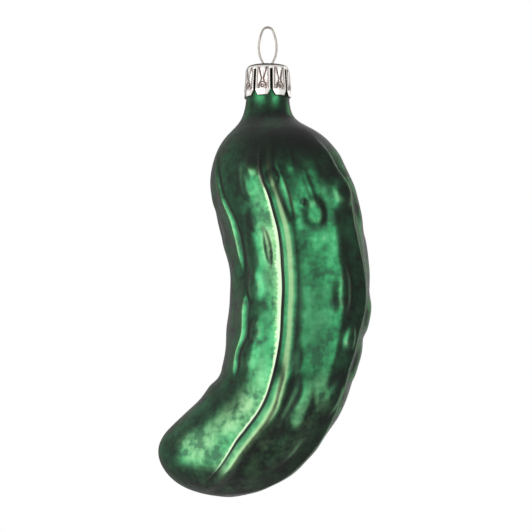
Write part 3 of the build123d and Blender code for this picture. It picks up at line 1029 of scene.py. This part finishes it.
@dataclass
class HangerWire:
    """The sprung wire, in millimetres: an oval loop of tangent arcs over two straight legs."""

    diameter: float = 0.5
    crown_radius: float = 1.3
    half_width: float = 2.08
    widest_drop: float = 4.6
    throat_half_gap: float = 0.68
    throat_radius: float = 1.0
    leg_x: float = 3.0
    sides: int = 20

    def route(self) -> Array:
        """One half of the wire's middle line, from the crown to the end of a leg.

        Returns:
            One row for each point: distance, x, z, heading.
        """
        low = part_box(Body.WIRE.value)[0].z / MM
        cap_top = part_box(Body.CAP.value)[1].z / MM
        crown, throat, half = self.crown_radius, self.throat_radius, self.half_width
        rise = self.diameter / 2 - crown + self.widest_drop
        upper = (half**2 + rise**2 - crown**2) / (2 * (half - crown))
        crown_turn = atan2(upper - half, rise)
        throat_z = cap_top - CrownCap.sheet / 2
        fall = -self.widest_drop - throat_z
        inset = half - self.throat_half_gap
        lower = (inset**2 + fall**2) / (2 * inset) - throat
        lower_turn = asin(fall / (lower + throat))
        leg_fall = throat_z - low
        spread = self.leg_x - self.throat_half_gap - throat
        chord = hypot(spread, leg_fall)
        splay = asin(throat / chord) + atan2(spread, leg_fall)
        leg = (chord**2 - throat**2) ** 0.5
        arcs = [(crown, -crown_turn), (upper, crown_turn - pi / 2)]
        arcs += [(lower, -lower_turn), (throat, lower_turn + splay)]
        lengths = [radius * abs(turn) for radius, turn in arcs] + [leg]
        return run_of_arcs(lengths, [degrees(turn) for _, turn in arcs] + [0], heading=0, samples=260)

    def build(self) -> Piece:
        """Make the wire as a round tube: circles square to the middle line, closed at both ends."""
        half = self.route()
        x = np.concatenate([-half[:0:-1, 1], half[:, 1]])
        z = np.concatenate([half[:0:-1, 2], half[:, 2]]) + self.diameter / 2
        heading = np.concatenate([-half[:0:-1, 3], half[:, 3]])
        turn = np.arange(self.sides) / self.sides * 2 * pi
        reach = self.diameter / 2
        out = reach * np.cos(turn)
        ring_x = x[:, None] - out * np.sin(heading)[:, None]
        ring_z = z[:, None] + out * np.cos(heading)[:, None]
        ring_y = np.broadcast_to(reach * np.sin(turn), ring_x.shape)
        ends = np.array([[x[0], 0, z[0]], [x[-1], 0, z[-1]]])
        piece = make_tube("hanging_wire", np.stack([ring_x, ring_y, ring_z], axis=-1), ends)
        seat(piece, Body.WIRE, Slot.WIRE, DRAWN_WIRE.material())
        return piece


@dataclass(frozen=True)
class Softbox:
    """An upright soft light, in degrees seen from the ornament, with the brightness of its face.

    Azimuth runs from the camera's side towards +X; low and high are its edges above the horizon.
    """

    name: str
    azimuth: float
    width: float
    low: float
    high: float
    radiance: float
    metal_only: bool = False


SOFTBOXES = (
    Softbox("softbox_left", -45, 50, -36, 28, 1.75),
    Softbox("softbox_right", 40, 26, -26, 30, 1.65),
    Softbox("fill_left", -140, 70, -40, 40, 0.25),
    Softbox("fill_back", 150, 60, -40, 40, 0.9),
    *(
        Softbox(name, azimuth, 88, -50, 72, 0.85, True)
        for name, azimuth in (("card_left", -90), ("card_front", 0), ("card_right", 90))
    ),
)


@dataclass
class Studio:
    """Camera, soft lights and pale surroundings, in millimetres."""

    pixel: float = 0.232
    middle: Range = (-0.4, -55.7)
    camera_back: float = 340.0
    camera_z: float = -75.0
    sensor: float = 36.0
    light_back: float = 600.0
    ambient: float = 0.012
    floor_radius: float = 1500.0
    floor_z: float = -330.0
    floor_colour: str = "eeedea"
    dome_radius: float = 3000.0
    dome_colour: str = "ffffff"
    dome_rows: int = 24
    sides: int = 96

    def camera(self) -> None:
        """Stand the camera a little below the middle of the ornament, looking slightly up at it."""
        data = bpy.data.cameras.new("camera")
        holder = new_object("camera", data)
        rise = self.middle[1] - self.camera_z
        data.sensor_width = self.sensor
        data.lens = self.sensor * hypot(self.camera_back, rise) / (IMAGE_SIDE * self.pixel)
        data.clip_start, data.clip_end = 0.01, 20.0
        holder.location = (self.middle[0] * MM, -self.camera_back * MM, self.camera_z * MM)
        holder.rotation_euler = (pi / 2 + atan(rise / self.camera_back), 0, 0)
        bpy.context.scene.camera = holder

    def hang(self, box: Softbox, metal: tuple[Piece, ...]) -> None:
        """Hang one soft light; some of them light the bright metal alone."""
        data = bpy.data.lights.new(box.name, "AREA")
        data.shape = "RECTANGLE"
        back = self.light_back
        bottom, top = back * tan(radians(box.low)), back * tan(radians(box.high))
        data.size = 2 * back * tan(radians(box.width / 2)) * MM
        data.size_y = (top - bottom) * MM
        data.energy = box.radiance * data.size * data.size_y * pi
        holder = new_object(box.name, data)
        side = radians(box.azimuth)
        level = self.middle[1] + (top + bottom) / 2
        place = (back * sin(side), -back * cos(side), level)
        holder.location = [step * MM for step in place]
        holder.rotation_euler = (pi / 2, 0, side)
        if box.metal_only:
            lit = bpy.data.collections.new(f"{box.name}_lights")
            for piece in metal:
                lit.objects.link(piece)
            holder.light_linking.receiver_collection = lit

    def floor(self) -> Piece:
        """Make a round floor below the ornament."""
        turn = np.arange(self.sides) / self.sides * 2 * pi
        ring = np.column_stack([np.cos(turn), np.sin(turn), np.zeros(self.sides)])
        points = np.vstack([ring, np.zeros((1, 3))]) * self.floor_radius + [0, 0, self.floor_z]
        disc = fan_faces(self.sides, np.arange(self.sides))
        return make_piece("floor", points, np.zeros((0, 4), int), disc)

    def dome(self) -> Piece:
        """Make a ball far round the ornament: rings at even steps of height angle, closed by two poles."""
        turn = np.arange(self.sides) / self.sides * 2 * pi
        rise = np.linspace(-pi / 2, pi / 2, self.dome_rows + 2)[1:-1]
        rings = [np.outer(np.cos(rise), np.cos(turn)), np.outer(np.cos(rise), np.sin(turn))]
        rings.append(np.outer(np.sin(rise), np.ones(self.sides)))
        shell = np.stack(rings, axis=-1)
        poles = np.array([(0, 0, -1), (0, 0, 1)])
        return make_tube("white_dome", shell * self.dome_radius, poles * self.dome_radius)

    def surroundings(self) -> None:
        """Set a pale floor below, a white dome far round and a dim even light."""
        world = bpy.data.worlds.new("studio")
        world.use_nodes = True
        even = {"Color": linear("ffffff"), "Strength": self.ambient}
        fill_inputs(world.node_tree, world.node_tree.nodes["Background"], even)
        bpy.context.scene.world = world
        for piece, colour in ((self.floor(), self.floor_colour), (self.dome(), self.dome_colour)):
            material, tree, shader = new_material(f"{piece.name}_white")
            fill_inputs(tree, shader, {
                "Base Color": linear("000000"), "Specular IOR Level": 0.0,
                "Emission Color": linear(colour), "Emission Strength": 1.0,
            })
            piece.data.materials.append(material)
            piece.visible_glossy = piece.visible_diffuse = piece.visible_shadow = False

    def build(self, metal: tuple[Piece, ...]) -> None:
        """Set up the camera, the lights, white cards for the bright metal and the surroundings."""
        self.camera()
        for box in SOFTBOXES:
            self.hang(box, metal)
        self.surroundings()
        bpy.context.scene.view_settings.view_transform = "Standard"


def main() -> None:
    """Build and dress each piece, light the scene and note the size."""
    logging.basicConfig(level=logging.INFO, format="%(name)s: %(message)s")
    GlassBody().build()
    cap = CrownCap().build()
    wire = HangerWire().build()
    Studio().build((cap, wire))


if __name__ == "__main__":
    main()
